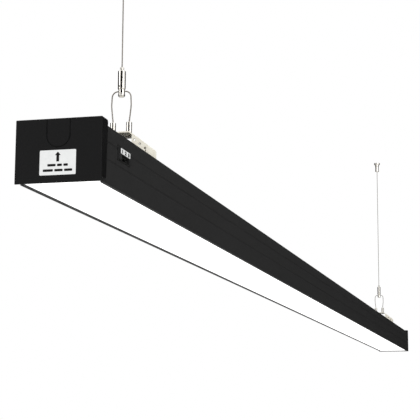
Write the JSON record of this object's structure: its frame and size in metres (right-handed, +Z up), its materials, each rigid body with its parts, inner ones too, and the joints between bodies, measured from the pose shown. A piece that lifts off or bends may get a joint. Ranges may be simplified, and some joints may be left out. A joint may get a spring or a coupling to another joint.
{
  "type": "hanging shop light",
  "caption": "Long slim black linear light with an opal underside and pull-up end caps, hung level on wire suspensions with cable grippers and spring clips.",
  "frame": {"origin": "on the ceiling plane, midway between the two ceiling fittings", "axes": "+Y along the light from its near end to its far end, +X towards the side with the selector, +Z up to the ceiling"},
  "size_m": [0.0766, 2.438, 0.4465],
  "materials": {
    "black_coat": "black powder coat, satin, fine grain",
    "cap_plastic": "moulded, fine spark texture",
    "black_plastic": "moulded, satin",
    "knob_plastic": "moulded, satin",
    "white_plastic": "moulded, satin",
    "opal": "opal diffuser, lit from inside",
    "led_board": "white solder mask",
    "led_phosphor": "phosphor, matte",
    "circuit_board": "green solder mask",
    "wire_insulation": "plastic insulation",
    "zinc_sheet": "zinc-plated sheet",
    "zinc_screw": "zinc-plated",
    "nickel": "polished nickel plate, warm",
    "bright_steel": "bright steel",
    "steel_cable": "stranded steel cable",
    "clip_steel": "bright plated spring steel"
  },
  "bodies": {
    "ceiling_fittings": {"ceiling_base_near": "nickel", "ceiling_base_far": "nickel", "ceiling_cap_near": "nickel", "ceiling_cap_far": "nickel"},
    "light": {"housing_extrusion": "black_coat", "diffuser": "opal", "driver_case": "zinc_sheet", "driver_lid": "zinc_sheet", "driver_board": "circuit_board", "through_wires": "wire_insulation", "driver_leads": "wire_insulation", "frame_screws": "zinc_screw", "selector_body": "black_plastic", "selector_board": "circuit_board", "led_board_near": "led_board", "led_row_near": "led_phosphor", "terminal_block_near": "white_plastic", "end_frame_near": "black_plastic", "led_board_far": "led_board", "led_row_far": "led_phosphor", "terminal_block_far": "white_plastic", "end_frame_far": "black_plastic"},
    "selector_knob": {"selector_knob": "knob_plastic"},
    "seat_near": {"ball_seat_near": "white_plastic"},
    "cable_near": {"cable_ball_near": "bright_steel", "suspension_cable_near": "steel_cable", "gripper_barrel_near": "nickel", "gripper_spring_near": "bright_steel"},
    "plunger_near": {"gripper_plunger_near": "nickel", "gripper_balls_near": "bright_steel"},
    "hanger_near": {"loop_wire_near": "steel_cable", "ferrule_left_near": "nickel", "ferrule_right_near": "nickel", "clip_bracket_near": "clip_steel"},
    "end_cap_near": {"end_cap_near": "cap_plastic"},
    "seat_far": {"ball_seat_far": "white_plastic"},
    "cable_far": {"cable_ball_far": "bright_steel", "suspension_cable_far": "steel_cable", "gripper_barrel_far": "nickel", "gripper_spring_far": "bright_steel"},
    "plunger_far": {"gripper_plunger_far": "nickel", "gripper_balls_far": "bright_steel"},
    "hanger_far": {"loop_wire_far": "steel_cable", "ferrule_left_far": "nickel", "ferrule_right_far": "nickel", "clip_bracket_far": "clip_steel"},
    "end_cap_far": {"end_cap_far": "cap_plastic"}
  },
  "joints": [
    {"name": "sway_across_near", "type": "hinge", "parent": "ceiling_fittings", "child": "seat_near", "pos_m": [0, -0.99, -0.0171], "axis": [0, 1, 0], "range_deg": [-12, 12]},
    {"name": "sway_along_near", "type": "hinge", "parent": "seat_near", "child": "cable_near", "pos_m": [0, -0.99, -0.0171], "axis": [1, 0, 0], "range_deg": [-12, 12]},
    {"name": "loop_pivot_near", "type": "hinge", "parent": "cable_near", "child": "hanger_near", "pos_m": [0, -0.99, -0.3275], "axis": [1, 0, 0], "range_deg": [-12, 12]},
    {"name": "rail_slide_near", "type": "slide", "parent": "hanger_near", "child": "light", "axis": [0, 1, 0], "range_m": [-0.05, 0.05]},
    {"name": "rail_slide_far", "type": "slide", "parent": "light", "child": "hanger_far", "axis": [0, 1, 0], "range_m": [-0.05, 0.05]},
    {"name": "sway_across_far", "type": "hinge", "parent": "ceiling_fittings", "child": "seat_far", "pos_m": [0, 0.99, -0.0171], "axis": [0, 1, 0], "range_deg": [-12, 12]},
    {"name": "sway_along_far", "type": "hinge", "parent": "seat_far", "child": "cable_far", "pos_m": [0, 0.99, -0.0171], "axis": [1, 0, 0], "range_deg": [-12, 12]},
    {"name": "selector_slide", "type": "slide", "parent": "light", "child": "selector_knob", "axis": [0, 1, 0], "range_m": [0, 0.02]},
    {"name": "cap_lift_near", "type": "slide", "parent": "light", "child": "end_cap_near", "axis": [0, 0, 1], "range_m": [0, 0.04]},
    {"name": "gripper_release_near", "type": "slide", "parent": "cable_near", "child": "plunger_near", "axis": [0, 0, -1], "range_m": [0, 0.002], "stiffness_N_per_m": 800, "springref_m": -0.001, "deforming": ["gripper_spring_near"]},
    {"name": "cap_lift_far", "type": "slide", "parent": "light", "child": "end_cap_far", "axis": [0, 0, 1], "range_m": [0, 0.04]},
    {"name": "gripper_release_far", "type": "slide", "parent": "cable_far", "child": "plunger_far", "axis": [0, 0, -1], "range_m": [0, 0.002], "stiffness_N_per_m": 800, "springref_m": -0.001, "deforming": ["gripper_spring_far"]}
  ],
  "couplings": [
    {"joint": "loop_pivot_near", "follows": "sway_along_near", "ratio": -1},
    {"joint": "sway_along_far", "follows": "sway_along_near", "ratio": 1},
    {"joint": "sway_across_far", "follows": "sway_across_near", "ratio": 1},
    {"joint": "rail_slide_far", "follows": "rail_slide_near", "ratio": -1}
  ]
}
